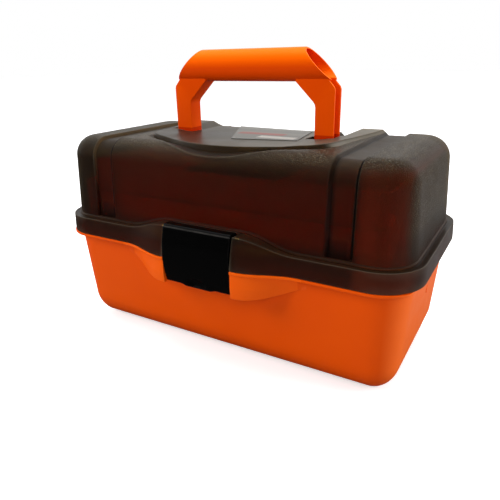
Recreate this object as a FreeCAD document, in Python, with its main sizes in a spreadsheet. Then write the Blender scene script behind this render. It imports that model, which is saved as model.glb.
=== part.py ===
import FreeCAD, Part
import math
import os
import Sketcher

# Fishing tackle box, closed: tub, hinged lid, two cantilever trays on arms, front latch
# and a fixed carrying handle.
# Millimetres, +Z up, X along the box, front towards -Y.
# Origin: centre of the tub's flat underside.

Vector = FreeCAD.Vector
os.makedirs("parts", exist_ok=True)
doc = FreeCAD.newDocument("tackle_box")
sheet = doc.addObject("Spreadsheet::Sheet", "dims")
aliases = []


class Quantity:
    """A number together with the sheet expression that yields it."""

    def __init__(self, number, expression):
        self.number = float(number)
        self.expression = expression

    @staticmethod
    def of(x):
        return x if isinstance(x, Quantity) else Quantity(x, "(%.6f)" % x)

    def __add__(self, other):
        other = Quantity.of(other)
        return Quantity(self.number + other.number,
                        "(%s + %s)" % (self.expression, other.expression))

    def __sub__(self, other):
        other = Quantity.of(other)
        return Quantity(self.number - other.number,
                        "(%s - %s)" % (self.expression, other.expression))

    def __mul__(self, other):
        other = Quantity.of(other)
        return Quantity(self.number * other.number,
                        "(%s * %s)" % (self.expression, other.expression))

    def __rmul__(self, other):
        return Quantity.of(other) * self

    def __neg__(self):
        return -1.0 * self


def number(x):
    return x.number if isinstance(x, Quantity) else float(x)


def dim(alias, value):
    """Add a driving dimension to the sheet."""
    aliases.append(alias)
    row = len(aliases)
    sheet.set("A%d" % row, alias)
    sheet.set("B%d" % row, "%.6f" % value)
    sheet.setAlias("B%d" % row, alias)
    return Quantity(value, "dims." + alias)


# ---------------------------------------------------------------- dimensions
skirt_half_length = dim("skirt_half_length", 170.0)
skirt_half_depth = dim("skirt_half_depth", 86.45)
skirt_corner_radius = dim("skirt_corner_radius", 33.0)
split_height = dim("split_height", 94.6)
skirt_top = dim("skirt_top_height", 110.4)
skirt_wall = dim("skirt_wall", 2.6)
base_top = dim("base_top_height", 94.2)
base_rim_inset = dim("base_rim_inset", 6.8)
base_draft = dim("base_draft_angle", 4.1)
base_foot_inset = dim("base_foot_inset", 13.6)
base_wall = dim("base_wall", 2.8)
base_edge_radius = dim("base_bottom_edge_radius", 18.0)
rim_overhang = dim("rim_lip_overhang", 1.2)
lid_wall_inset = dim("lid_wall_inset", 7.3)
lid_top = dim("lid_top_height", 183.1)
lid_draft = dim("lid_draft_angle", 3.3)
lid_corner_radius = dim("lid_corner_radius", 27.0)
lid_edge_radius = dim("lid_top_edge_radius", 18.0)
lid_wall = dim("lid_wall_thickness", 2.8)
channel_inner_x = dim("channel_inner_x", 105.0)
channel_width = dim("channel_width", 17.0)
channel_depth = dim("channel_depth", 2.3)
hump_half = dim("hump_half_width", 84.0)
hump_flat_half = dim("hump_flat_half_width", 35.0)
hump_front = dim("hump_front_y", 98.8)
hump_top = dim("hump_top_height", 120.3)
apron_low = dim("apron_low_height", 71.0)
recess_half = dim("latch_recess_half_width", 32.8)
recess_floor = dim("latch_recess_floor_y", 90.0)
latch_half = dim("latch_half_width", 32.0)
latch_pivot_y = dim("latch_pivot_y", 88.6)
latch_pivot_z = dim("latch_pivot_z", 117.6)
latch_pin_radius = dim("latch_pin_radius", 1.5)
hinge_y = dim("hinge_axis_y", 91.0)
hinge_z = dim("hinge_axis_z", 94.6)
barrel_radius = dim("hinge_barrel_radius", 4.0)
hinge_pin_radius = dim("hinge_pin_radius", 1.5)
clearance = dim("running_clearance", 0.05)
rivet_radius = dim("tray_rivet_radius", 2.4)
arm_pivot_y = dim("arm_pivot_y", 9.0)
arm_pivot_z = dim("arm_pivot_z", 63.0)
lower_reach_y = dim("arm_lower_reach_y", -28.98)
lower_reach_z = dim("arm_lower_reach_z", 16.8)
upper_reach_y = dim("arm_upper_reach_y", -69.0)
upper_reach_z = dim("arm_upper_reach_z", 40.0)
arm_half_width = dim("arm_half_width", 6.0)
arm_inner_x = dim("arm_inner_x", 148.0)
arm_thickness = dim("arm_thickness", 3.0)
tray_wall = dim("tray_wall", 1.8)
tray_half_length = dim("tray_half_length", 142.4)
tray_front = dim("tray_front_y", -64.0)
lower_tray_rear = dim("lower_tray_rear_y", 66.0)
upper_tray_rear = dim("upper_tray_rear_y", 46.0)
lower_tray_z = dim("lower_tray_bottom_z", 106.0)
upper_tray_z = dim("upper_tray_bottom_z", 134.0)
tray_height = dim("tray_height", 26.0)
tray_corner_radius = dim("tray_corner_radius", 12.0)
lug_outer_x = dim("tray_lug_outer_x", 147.0)
leg_inner_x = dim("handle_leg_inner_x", 62.0)
leg_outer_x = dim("handle_leg_outer_x", 78.2)
leg_half_depth = dim("handle_leg_half_depth", 7.7)
grip_z = dim("grip_axis_height", 241.5)
grip_radius = dim("grip_radius", 13.2)
grip_bore_radius = dim("grip_bore_radius", 11.8)
grip_half_length = dim("grip_half_length", 79.0)
platform_z = dim("platform_height", 183.7)
platform_side_z = dim("platform_side_height", 185.0)
doc.recompute()

# Pivots as (y, z): the arm turns on the tub, each tray hangs on the arm and on the lid
base_pivot = (arm_pivot_y, arm_pivot_z)
lower_arm_pivot = (arm_pivot_y + lower_reach_y, arm_pivot_z + lower_reach_z)
upper_arm_pivot = (arm_pivot_y + upper_reach_y, arm_pivot_z + upper_reach_z)
lower_lid_pivot = (hinge_y + lower_reach_y, hinge_z + lower_reach_z)
upper_lid_pivot = (hinge_y + upper_reach_y, hinge_z + upper_reach_z)
latch_pivot = (-latch_pivot_y, latch_pivot_z)
hinge_axis = (hinge_y, hinge_z)

arm_outer_x = arm_inner_x + arm_thickness
rivet_bore = rivet_radius + clearance
hinge_bore = hinge_pin_radius + clearance
latch_bore = latch_pin_radius + clearance

SIDES = (("left", -1.0), ("right", 1.0))
HINGE_CENTRES = (-112.0, 112.0)  # x of the two hinges
KNUCKLE_HALF = 12.0  # half length of the lid's knuckle
PIN_INNER_X = 143.6  # inner end of the tray rivets and lid pins
BASE_SINK_X = 160.2  # floor of the rivet sink in the tub's end


# ------------------------------------------------------------------- helpers
def add(kind, name):
    obj = doc.addObject(kind, name)
    obj.Label = name
    return obj


def bind(obj, path, amount):
    if isinstance(amount, Quantity):
        obj.setExpression(path, amount.expression)


def assign(obj, prop, amount):
    setattr(obj, prop, number(amount))
    bind(obj, prop, amount)


def span(sign, near, far):
    """Range of x between two distances from the middle, on one side."""
    return (near, far) if sign > 0 else (-far, -near)


def mirrored(sign, points):
    return [(sign * x, y) for x, y in points]


def sketch(body, name, role="XY_Plane", offset=0.0):
    """Sketch on an origin plane; offset runs to +Z, +X (YZ) or -Y (XZ)."""
    s = body.newObject("Sketcher::SketchObject", name)
    plane = [f for f in body.Origin.OriginFeatures if f.Role == role][0]
    s.AttachmentSupport = [(plane, "")]
    s.MapMode = "FlatFace"
    s.AttachmentOffset = FreeCAD.Placement(Vector(0, 0, number(offset)), FreeCAD.Rotation())
    bind(s, "AttachmentOffset.Base.z", offset)
    return s


def measure(s, kind, *args):
    """Driving constraint; the last argument is its amount."""
    index = s.addConstraint(Sketcher.Constraint(kind, *args[:-1], number(args[-1])))
    bind(s, "Constraints[%d]" % index, args[-1])


def fix(s, geo, pos, x, y):
    """Hold a point at x, y from the sketch origin."""
    for kind, amount, axis in (("DistanceX", x, -2), ("DistanceY", y, -1)):
        if abs(number(amount)) < 1e-9:
            s.addConstraint(Sketcher.Constraint("PointOnObject", geo, pos, axis))
        else:
            measure(s, kind, -1, 1, geo, pos, amount)


def line(s, start, end):
    return s.addGeometry(Part.LineSegment(start, end), False)


def arc(s, centre, radius, start, end):
    circle_of_arc = Part.Circle(centre, Vector(0, 0, 1), radius)
    return s.addGeometry(Part.ArcOfCircle(circle_of_arc, start, end), False)


def poly(s, points):
    count = len(points)
    corners = [Vector(number(x), number(y), 0) for x, y in points]
    ids = [line(s, corners[i], corners[(i + 1) % count]) for i in range(count)]
    for i in range(count):
        s.addConstraint(Sketcher.Constraint("Coincident", ids[i], 2, ids[(i + 1) % count], 1))
    for i in range(count):
        fix(s, ids[i], 1, *points[i])
    return s


def rect(s, x0, x1, y0, y1):
    return poly(s, [(x0, y0), (x1, y0), (x1, y1), (x0, y1)])


def circle(s, x, y, radius):
    centre = Vector(number(x), number(y), 0)
    geo = s.addGeometry(Part.Circle(centre, Vector(0, 0, 1), number(radius)), False)
    measure(s, "Radius", geo, radius)
    fix(s, geo, 3, x, y)
    return s


def rounded_rect(s, x0, x1, y0, y1, radius):
    """Rounded rectangle, counter-clockwise from the lower left."""
    left, right, low, high, r = [number(q) for q in (x0, x1, y0, y1, radius)]
    sides = [((left + r, low), (right - r, low)), ((right, low + r), (right, high - r)),
             ((right - r, high), (left + r, high)), ((left, high - r), (left, low + r))]
    corners = [((right - r, low + r), -90), ((right - r, high - r), 0),
               ((left + r, high - r), 90), ((left + r, low + r), 180)]
    lines = [line(s, Vector(*a, 0), Vector(*b, 0)) for a, b in sides]
    arcs = [arc(s, Vector(*centre, 0), r, math.radians(a), math.radians(a + 90))
            for centre, a in corners]
    for i in range(4):
        s.addConstraint(Sketcher.Constraint("Tangent", lines[i], 2, arcs[i], 1))
        s.addConstraint(Sketcher.Constraint("Tangent", arcs[i], 2, lines[(i + 1) % 4], 1))
    for i, kind in ((0, "Horizontal"), (2, "Horizontal"), (1, "Vertical"), (3, "Vertical")):
        s.addConstraint(Sketcher.Constraint(kind, lines[i]))
    for i in (1, 2, 3):
        s.addConstraint(Sketcher.Constraint("Equal", arcs[0], arcs[i]))
    measure(s, "Radius", arcs[0], radius)
    for kind, i, amount in (("DistanceX", 3, x0), ("DistanceX", 1, x1),
                            ("DistanceY", 0, y0), ("DistanceY", 2, y1)):
        measure(s, kind, -1, 1, lines[i], 1, amount)
    return s


def inset_plan(s, inset, radius=None):
    """The skirt's plan drawn in by inset, corners too unless a radius is given."""
    if radius is None:
        radius = skirt_corner_radius - inset
    half_x = skirt_half_length - inset
    half_y = skirt_half_depth - inset
    return rounded_rect(s, -half_x, half_x, -half_y, half_y, radius)


def stadium(s, ax, ay, bx, by, radius):
    """Two discs joined by their outer tangents."""
    r = number(radius)
    start = Vector(number(ax), number(ay), 0)
    end = Vector(number(bx), number(by), 0)
    along = end - start
    angle = math.atan2(along.y, along.x)
    normal = Vector(-along.y / along.Length * r, along.x / along.Length * r, 0)
    quarter = math.pi / 2
    line0 = line(s, start - normal, end - normal)
    arc_end = arc(s, end, r, angle - quarter, angle + quarter)
    line1 = line(s, end + normal, start + normal)
    arc_start = arc(s, start, r, angle + quarter, angle + 3 * quarter)
    loop = (line0, arc_end, line1, arc_start)
    for i in range(4):
        s.addConstraint(Sketcher.Constraint("Tangent", loop[i], 2, loop[(i + 1) % 4], 1))
    s.addConstraint(Sketcher.Constraint("Equal", arc_end, arc_start))
    measure(s, "Radius", arc_end, radius)
    fix(s, arc_start, 3, ax, ay)
    fix(s, arc_end, 3, bx, by)
    return s


def feature(kind, body, profile, name, length, taper=None, reverse=False, both=False):
    f = body.newObject(kind, name)
    f.Profile = profile
    f.Type = "Length"
    assign(f, "Length", length)
    f.Reversed = reverse
    if both:
        f.SideType = "Symmetric"
    if taper is not None:
        assign(f, "TaperAngle", taper)
    doc.recompute()
    return f


def pad(body, profile, name, length, **options):
    return feature("PartDesign::Pad", body, profile, name, length, **options)


def pocket(body, profile, name, length, **options):
    doc.recompute()
    before = body.Shape.Volume
    feature("PartDesign::Pocket", body, profile, name, length, **options)
    if not body.Shape.Volume < before - 1e-3:
        raise RuntimeError(name + " removed nothing")


def fillet_level(body, base, name, radius, z, tolerance=0.01):
    """Round every edge of the feature base that lies flat at height z."""
    edges = ["Edge%d" % (i + 1) for i, e in enumerate(base.Shape.Edges)
             if abs(e.BoundBox.ZMin - z) < tolerance and abs(e.BoundBox.ZMax - z) < tolerance]
    f = body.newObject("PartDesign::Fillet", name)
    f.Base = (base, edges)
    assign(f, "Radius", radius)
    doc.recompute()


def place(obj, x, y, z, rotation):
    obj.Placement = FreeCAD.Placement(Vector(number(x), number(y), number(z)), rotation)
    for axis, amount in (("x", x), ("y", y), ("z", z)):
        bind(obj, "Placement.Base." + axis, amount)


def box(name, x0, x1, y0, y1, z0, z1):
    obj = add("Part::Box", name)
    for prop, low, high in (("Length", x0, x1), ("Width", y0, y1), ("Height", z0, z1)):
        assign(obj, prop, Quantity.of(high) - low)
    place(obj, x0, y0, z0, FreeCAD.Rotation())
    return obj


def rod(name, x0, x1, y, z, radius):
    """Cylinder along X."""
    obj = add("Part::Cylinder", name)
    assign(obj, "Radius", radius)
    assign(obj, "Height", Quantity.of(x1) - x0)
    place(obj, x0, y, z, FreeCAD.Rotation(Vector(0, 1, 0), 90))
    return obj


def fuse(name, shapes):
    obj = add("Part::MultiFuse", name)
    obj.Shapes = shapes
    return obj


def combine(kind, name, base, tool):
    obj = add(kind, name)
    obj.Base = base
    obj.Tool = tool
    return obj


def cut(name, base, tool):
    return combine("Part::Cut", name, base, tool)


def group(name, shapes):
    obj = add("Part::Compound", name)
    obj.Links = shapes
    return obj


def both_sides(name, make):
    return group(name, [make(side, sign) for side, sign in SIDES])


def bulge_front(inset, steps=10):
    """Front outline of the swelling behind the latch, left to right, on a cosine ease."""
    half = hump_half - inset
    flat = hump_flat_half - inset * 0.5
    root = skirt_half_depth - 1.0 - inset
    rise = hump_front - inset - root
    left = []
    for i in range(steps + 1):
        share = i / steps
        ease = 0.5 - 0.5 * math.cos(math.pi * share)
        left.append((-(half - (half - flat) * share), -(root + rise * ease)))
    return left + mirrored(-1.0, reversed(left))


# ------------------------------------------------------------------ base tub
# Apron's lower edge: share of half width, share of height from apron_low to base_top
APRON_EDGE = [(0, 0), (0.3, 0.0), (0.55, 0.05), (0.75, 0.18), (0.9, 0.36), (1.0, 0.55)]
# Plan of the hollow behind the apron, right side: x, y
APRON_HOLLOW = [(36.0, -82.6), (36.0, -94.6), (46.0, -93.2),
                (58.0, -88.6), (66.0, -84.4), (66.0, -82.6)]


def add_apron(body):
    """Swelling behind the latch: front profile pushed forward, then trimmed to plan."""
    back_y = 74.0
    clear_y = -103.0  # in front of everything
    cut_depth = 40.0
    half = hump_half + 1.0
    edge = [(half * a, apron_low + (base_top - apron_low) * b) for a, b in APRON_EDGE]
    s = poly(sketch(body, "apron_front_view", "XZ_Plane", offset=back_y),
             edge + [(half, base_top), (-half, base_top)] + mirrored(-1.0, reversed(edge[1:])))
    pad(body, s, "apron_block", 27.0)
    side_x = hump_half + 6.0
    side_y = -84.5
    s = poly(sketch(body, "apron_trim_plan", offset=base_top),
             [(-side_x, side_y)] + bulge_front(0.6) +
             [(side_x, side_y), (side_x, clear_y), (-side_x, clear_y)])
    pocket(body, s, "apron_trim", cut_depth)
    s = rect(sketch(body, "apron_recess_plan", offset=base_top),
             -recess_half, recess_half, clear_y, -recess_floor)
    pocket(body, s, "apron_recess", cut_depth)


def hollow_tub(body):
    """Cut the well, then the hollows behind the apron."""
    floor_z = 3.0
    well = new_body("tub_well")
    s = inset_plan(sketch(well, "well_floor", offset=floor_z),
                   base_foot_inset + base_wall - 0.2)
    rise = pad(well, s, "well_rise", base_top + 2.0, taper=base_draft)
    fillet_level(well, rise, "well_round", base_edge_radius - base_wall, floor_z)
    f = body.newObject("PartDesign::Boolean", "tub_hollow")
    f.Type = "Cut"
    f.Group = [well]
    doc.recompute()
    for side, sign in SIDES:
        s = poly(sketch(body, "apron_hollow_plan_" + side, offset=base_top),
                 mirrored(sign, APRON_HOLLOW))
        pocket(body, s, "apron_hollow_" + side, 18.0)


def add_arm_bosses(body):
    """Inside bosses for the arm rivets, bored and sunk from outside."""
    outside_x = 170.0
    for side, sign in SIDES:
        left = sign < 0
        s = circle(sketch(body, "arm_boss_plan_" + side, "YZ_Plane",
                          offset=sign * (arm_outer_x + 0.5)), *base_pivot, 7.0)
        pad(body, s, "arm_boss_" + side, 8.0, reverse=left)
        for part, radius, depth in (("bore", rivet_bore, 25.0),
                                    ("sink", 3.6, outside_x - BASE_SINK_X)):
            s = circle(sketch(body, "arm_%s_plan_%s" % (part, side), "YZ_Plane",
                              offset=sign * outside_x), *base_pivot, radius)
            pocket(body, s, "arm_%s_%s" % (part, side), depth, reverse=left)


def add_base_knuckles(body):
    """Outer knuckles of the two hinges, either side of the lid's."""
    outer_end = 24.0
    inner_end = KNUCKLE_HALF + 0.2
    web_front = 78.0
    web_rear = hinge_y + 2.6
    starts = [c + d for c in HINGE_CENTRES for d in (-outer_end, inner_end)]
    for i, x in enumerate(starts):
        s = poly(sketch(body, "base_knuckle_web_plan_%d" % i, "YZ_Plane", offset=x),
                 [(web_front, 84.0), (web_rear, 90.7), (web_rear, base_top),
                  (web_front, base_top)])
        pad(body, s, "base_knuckle_web_%d" % i, outer_end - inner_end)
        s = circle(sketch(body, "base_knuckle_plan_%d" % i, "YZ_Plane", offset=x),
                   *hinge_axis, barrel_radius)
        pad(body, s, "base_knuckle_%d" % i, outer_end - inner_end)
    s = circle(sketch(body, "hinge_bore_plan", "YZ_Plane", offset=-150.0),
               *hinge_axis, hinge_bore)
    pocket(body, s, "hinge_bore", 300.0, reverse=True)


def new_body(name):
    return add("PartDesign::Body", name)


def base_tub():
    rim_height = 2.2
    body = new_body("base_tub")
    s = inset_plan(sketch(body, "base_foot"), base_foot_inset)
    block = pad(body, s, "base_block", base_top, taper=base_draft)
    fillet_level(body, block, "base_bottom_round", base_edge_radius, 0.0)
    s = inset_plan(sketch(body, "rim_outline", offset=base_top - rim_height),
                   base_rim_inset - rim_overhang)
    pad(body, s, "rim_lip", rim_height)
    add_apron(body)
    hollow_tub(body)
    # inner upstand that the skirt closes over
    s = sketch(body, "upstand_plan", offset=base_top - 1.5)
    inset_plan(s, base_rim_inset + 0.6)
    inset_plan(s, base_rim_inset + 2.6)
    pad(body, s, "upstand", 5.0)
    add_arm_bosses(body)
    add_base_knuckles(body)
    # keeper rib for the latch
    keeper_half = 12.0
    s = rect(sketch(body, "keeper_plan", "YZ_Plane", offset=-keeper_half),
             -recess_floor - 1.8, -recess_floor + 0.5, 80.0, 84.0)
    pad(body, s, "keeper", keeper_half * 2)
    return body


# ----------------------------------------------------------------- lid shell
# Fall of the hump's top edge to the skirt: share of the way out, share of height left
HUMP_FALL = [(0.0, 1.0), (0.1, 0.97), (0.25, 0.85), (0.42, 0.62),
             (0.6, 0.34), (0.78, 0.12), (0.9, 0.03), (1.0, 0.0)]
# Right half of the boat-shaped platform's plan, front to rear: x, y
PLATFORM = [(0, -64), (18, -62), (32, -58), (45, -53), (57, -47.5), (70, -43), (80, -37),
            (84, -28), (88, -10), (92, 8), (96, 28), (99, 50), (99, 58)]
# Right raised side of the platform; its outer edge follows the platform's
PLATFORM_SIDE = [(78, 60), (78, 0), (79, -30)] + PLATFORM[6:]
# Plan of the hollow behind the hump, right side: x, y
HUMP_HOLLOW = [(36.5, -80.0), (36.5, -95.0), (46.0, -93.0),
               (58.0, -88.2), (66.0, -84.0), (66.0, -80.0)]


def lid_block(name, offset, z_low, edge_radius):
    """Tapered rounded block, the lid wall's outer form shrunk by offset."""
    body = new_body(name)
    s = inset_plan(sketch(body, name + "_plan", offset=z_low), lid_wall_inset + offset,
                   lid_corner_radius - offset)
    rise = pad(body, s, name + "_rise", lid_top - offset - z_low, taper=-lid_draft)
    fillet_level(body, rise, name + "_round", edge_radius, number(lid_top - offset))
    return body


def lid_outer():
    """Outer form: wall, skirt, hump over the latch and platform on top."""
    body = lid_block("lid_outer", 0.0, skirt_top - 0.5, lid_edge_radius)
    s = inset_plan(sketch(body, "skirt_plan", offset=split_height), 0.0)
    pad(body, s, "skirt", skirt_top - split_height, taper=-2.0)
    hump_back = -74.0
    s = poly(sketch(body, "hump_plan", offset=split_height),
             [(-hump_half, hump_back)] + bulge_front(0.0) + [(hump_half, hump_back)])
    pad(body, s, "hump", hump_top - split_height)
    clear_x = hump_half + 5.0
    clear_z = hump_top + 3.0
    fall = [(hump_flat_half + (hump_half - hump_flat_half) * a,
             skirt_top + (hump_top - skirt_top) * b) for a, b in HUMP_FALL]
    fall += [(clear_x, skirt_top), (clear_x, clear_z), (hump_flat_half, clear_z)]
    for side, sign in SIDES:
        s = poly(sketch(body, "hump_fall_" + side, "XZ_Plane", offset=78.9),
                 mirrored(sign, fall))
        pocket(body, s, "hump_fall_cut_" + side, 30.0, reverse=True)
    platform_foot = 172.0
    side_foot = platform_z - 3.0
    s = poly(sketch(body, "platform_plan", offset=platform_foot),
             PLATFORM + mirrored(-1.0, reversed(PLATFORM[1:])))
    pad(body, s, "platform", platform_z - platform_foot)
    for side, sign in SIDES:
        s = poly(sketch(body, "platform_side_plan_" + side, offset=side_foot),
                 mirrored(sign, PLATFORM_SIDE))
        pad(body, s, "platform_side_" + side, platform_side_z - side_foot)
    return body


def channel_bands(suffix, margin, z_low):
    """Upright slabs from front to rear where the lid's two channels run."""
    near = channel_inner_x - margin
    far = channel_inner_x + channel_width + margin
    return fuse("channel_bands" + suffix,
                [box("channel_" + side + suffix, *span(sign, near, far),
                     -100.0, 100.0, z_low, 190.0) for side, sign in SIDES])


def lid_raw():
    """Hollow lid with a channel pressed in on each side, ribs following it inside."""
    outer = lid_outer()
    floor = lid_block("lid_channel_floor", channel_depth, skirt_top,
                      lid_edge_radius - channel_depth)
    grooves = cut("channel_grooves", channel_bands("", 0.0, skirt_top + 0.2), floor)
    void_low = split_height - 1.0
    void = lid_block("lid_void", lid_wall, void_low, lid_edge_radius - lid_wall)
    rib_offset = lid_wall + channel_depth
    void_core = lid_block("lid_void_under_channels", rib_offset, void_low,
                          lid_edge_radius - rib_offset)
    ribs = cut("channel_inner_ribs", channel_bands("_inner", 2.5, split_height - 2.0),
               void_core)
    ribbed_void = cut("lid_void_with_ribs", void, ribs)
    return cut("lid_shell_raw", cut("lid_outer_grooved", outer, grooves), ribbed_void)


def lid_openings():
    """Skirt and hump hollows, latch recess and handle slots."""
    low = split_height - 1.0
    tools = new_body("lid_cutters")
    s = inset_plan(sketch(tools, "skirt_inside", offset=low), skirt_wall)
    pad(tools, s, "skirt_hollow", skirt_top - split_height - 1.6)
    for side, sign in SIDES:
        s = poly(sketch(tools, "hump_inside_" + side, offset=low),
                 mirrored(sign, HUMP_HOLLOW))
        pad(tools, s, "hump_hollow_" + side, 16.0)
    clear_z = hump_top + 5.0
    openings = [
        tools,
        box("latch_recess", -recess_half, recess_half, -110.0, -recess_floor,
            split_height - 2.0, clear_z),
        box("latch_barrel_recess", -recess_half, recess_half, -recess_floor - 1.0,
            -(latch_pivot_y - 7.5), latch_pivot_z - 5.2, clear_z)]
    # each slot is longer than the leg towards -X
    gap = 0.4
    slot_half = leg_half_depth + gap
    for side, sign in SIDES:
        x0, x1 = span(sign, leg_inner_x, leg_outer_x)
        openings.append(box("handle_slot_" + side, x0 - 8.4, x1 + gap,
                            -slot_half, slot_half, 170.0, 188.0))
    return fuse("lid_openings", openings)


def lid_shell():
    shell = cut("lid_shell_open", lid_raw(), lid_openings())
    adds = [shell]
    bores = [rod("lid_hinge_bore", -150.0, 150.0, *hinge_axis, hinge_bore),
             rod("lid_latch_bore", -38.0, 38.0, *latch_pivot, latch_bore)]
    # the bosses end inside the thickness of the lid's wall, which curves in at the corners
    limit = lid_block("lid_boss_limit", 0.5, split_height, lid_edge_radius - 0.5)
    for side, sign in SIDES:
        for n, pivot, outer_x in ((1, lower_lid_pivot, 159.5), (2, upper_lid_pivot, 158.4)):
            boss = rod("lid_boss_rod_%s_%d" % (side, n), *span(sign, 148.4, outer_x),
                       *pivot, 6.0)
            adds.append(combine("Part::Common", "lid_boss_%s_%d" % (side, n), boss, limit))
            bores.append(rod("lid_boss_bore_%s_%d" % (side, n), *span(sign, 147.0, 156.0),
                             *pivot, rivet_bore))
    for i, centre in enumerate(HINGE_CENTRES):
        x0 = centre - KNUCKLE_HALF
        x1 = centre + KNUCKLE_HALF
        adds.append(rod("lid_knuckle_%d" % i, x0, x1, *hinge_axis, barrel_radius))
        adds.append(box("lid_knuckle_web_%d" % i, x0, x1, skirt_half_depth - 1.8,
                        hinge_y + 1.0, split_height + 0.2, hinge_z + 3.8))
    return cut("lid_shell", fuse("lid_shell_full", adds), fuse("lid_bores", bores))


# -------------------------------------------------------------------- handle
def handle():
    leg_foot = 172.5
    mitre_inner_x = 49.7
    mitre_outer_x = 85.0
    clear_z = 262.0
    grip_top = grip_z + grip_radius
    # tube ends mitred at 45 degrees
    mitre = [(mitre_inner_x, grip_top),
             (mitre_outer_x, grip_top - (mitre_outer_x - mitre_inner_x)),
             (mitre_outer_x, clear_z), (mitre_inner_x, clear_z)]
    # right leg, front view: x, z
    leg = [(leg_inner_x, leg_foot), (leg_outer_x, leg_foot), (leg_outer_x, 222.4),
           (leg_outer_x - 0.8, 224.6), (leg_outer_x - 2.6, 226.6), (62.0, 241.6),
           (50.0, 241.6), (44.0, 229.0), (leg_inner_x - 1.9, 213.1),
           (leg_inner_x - 0.5, 211.1), (leg_inner_x, 208.8)]
    leg_depth = leg_half_depth * 2.0

    body = new_body("handle")
    s = circle(sketch(body, "grip_outer_plan", "YZ_Plane"), 0.0, grip_z, grip_radius)
    pad(body, s, "grip_tube", grip_half_length * 2.0, both=True)
    for side, sign in SIDES:
        s = poly(sketch(body, "mitre_plan_" + side, "XZ_Plane", offset=-20.0),
                 mirrored(sign, mitre))
        pocket(body, s, "mitre_" + side, 40.0, reverse=True)
    for side, sign in SIDES:
        s = poly(sketch(body, "leg_plan_" + side, "XZ_Plane"), mirrored(sign, leg))
        pad(body, s, "leg_" + side, leg_depth, both=True)
    s = circle(sketch(body, "grip_bore_plan", "YZ_Plane"), 0.0, grip_z, grip_bore_radius)
    pocket(body, s, "grip_hollow", 200.0, both=True)
    # channel down each leg, open outwards
    for side, sign in SIDES:
        s = rect(sketch(body, "leg_channel_plan_" + side, "XZ_Plane"),
                 *span(sign, leg_inner_x + 2.2, leg_outer_x + 2.0), 180.0, 232.0)
        pocket(body, s, "leg_channel_" + side, leg_depth - 4.6, both=True)
    # feet under the lid skin, both towards +X
    for side, sign in SIDES:
        leg_end = span(sign, leg_inner_x, leg_outer_x)[1]
        s = rect(sketch(body, "foot_plan_" + side, "XZ_Plane"),
                 leg_end - 1.0, leg_end + 6.5, leg_foot, 178.6)
        pad(body, s, "foot_" + side, leg_depth, both=True)
    return body


# --------------------------------------------------------------------- latch
# Section of the flap: y, z
LATCH_PROFILE = [
    (-94.0, 122.3), (-96.4, 115.5), (-98.2, 108.0), (-99.1, 98.5), (-98.6, 88.0),
    (-97.2, 79.5), (-95.6, 73.6), (-93.6, 72.4), (-92.2, 74.5), (-93.6, 79.0),
    (-94.9, 88.0), (-95.4, 98.0), (-94.6, 108.0), (-92.8, 112.6), (-88.0, 112.9),
    (-84.6, 114.6), (-83.9, 118.0), (-84.6, 121.0), (-87.0, 122.3)]


def latch_flap():
    tab_half = 15.0
    scoop_half = 9.0
    claw_half = 10.0
    body = new_body("latch_flap")
    s = poly(sketch(body, "latch_profile", "YZ_Plane"), LATCH_PROFILE)
    pad(body, s, "latch_plate", latch_half * 2.0, both=True)
    s = rect(sketch(body, "finger_tab_plan", "XZ_Plane", offset=92.6),
             -tab_half, tab_half, 71.4, 75.0)
    pad(body, s, "finger_tab", 3.0)
    s = circle(sketch(body, "finger_scoop_plan", "YZ_Plane", offset=-scoop_half),
               -105.4, 80.0, 8.6)
    pocket(body, s, "finger_scoop", scoop_half * 2, reverse=True)
    s = circle(sketch(body, "latch_bore_plan", "YZ_Plane"), *latch_pivot, latch_bore)
    pocket(body, s, "latch_bore", 80.0, both=True)
    # claw behind the flap, just above the tub's keeper rib
    s = rect(sketch(body, "claw_plan", "YZ_Plane", offset=-claw_half),
             -95.2, -92.2, 86.0, 88.5)
    pad(body, s, "claw", claw_half * 2)
    return body


# --------------------------------------------------------------------- trays
def tray(name, bottom, rear, arm_pivot, lid_pivot, half, root_rear):
    """Open tray; root_rear is how far the lid boss's root runs behind its pivot."""
    arm_y, arm_z = arm_pivot
    lid_y, lid_z = lid_pivot
    lug_x = tray_half_length + 1.2  # inner face of lugs and bosses
    root_x = half - 1.0
    lug_length = lug_outer_x - lug_x
    root_length = lug_outer_x - root_x
    root_half = 6.0

    body = new_body(name)
    s = rounded_rect(sketch(body, name + "_plan", offset=bottom),
                     -half, half, tray_front, rear, tray_corner_radius)
    pad(body, s, name + "_block", tray_height)
    inner = half - tray_wall
    s = rounded_rect(sketch(body, name + "_inside", offset=bottom + tray_height),
                     -inner, inner, tray_front + tray_wall, rear - tray_wall,
                     tray_corner_radius - tray_wall)
    pocket(body, s, name + "_well", tray_height - tray_wall)

    for side, sign in SIDES:
        def side_sketch(part, x):
            return sketch(body, "%s_%s_%s" % (name, part, side), "YZ_Plane", offset=sign * x)

        def side_pad(profile, part, length):
            pad(body, profile, "%s_%s_pad_%s" % (name, part, side), length, reverse=sign < 0)

        # drop lug for the arm and round boss for the lid pin, each with a root on the wall
        side_pad(stadium(side_sketch("lug", lug_x), arm_y, arm_z, arm_y, bottom + 2.5, 6.0),
                 "lug", lug_length)
        side_pad(rect(side_sketch("root", root_x), arm_y - root_half, arm_y + root_half,
                      bottom + 1.0, bottom + 8.0), "root", root_length)
        side_pad(circle(side_sketch("boss", lug_x), lid_y, lid_z, 6.4), "boss", lug_length)
        side_pad(rect(side_sketch("bossroot", root_x), lid_y - root_half, lid_y + root_rear,
                      bottom + 1.0, bottom + 10.0), "bossroot", root_length)
        for n, pivot in enumerate((arm_pivot, lid_pivot)):
            s = circle(sketch(body, "%s_bore_%s_%d" % (name, side, n), "YZ_Plane",
                              offset=sign * (lug_outer_x + 1.0)), *pivot, rivet_bore)
            pocket(body, s, "%s_bore_cut_%s_%d" % (name, side, n), 4.8, reverse=sign < 0)
    return body


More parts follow.
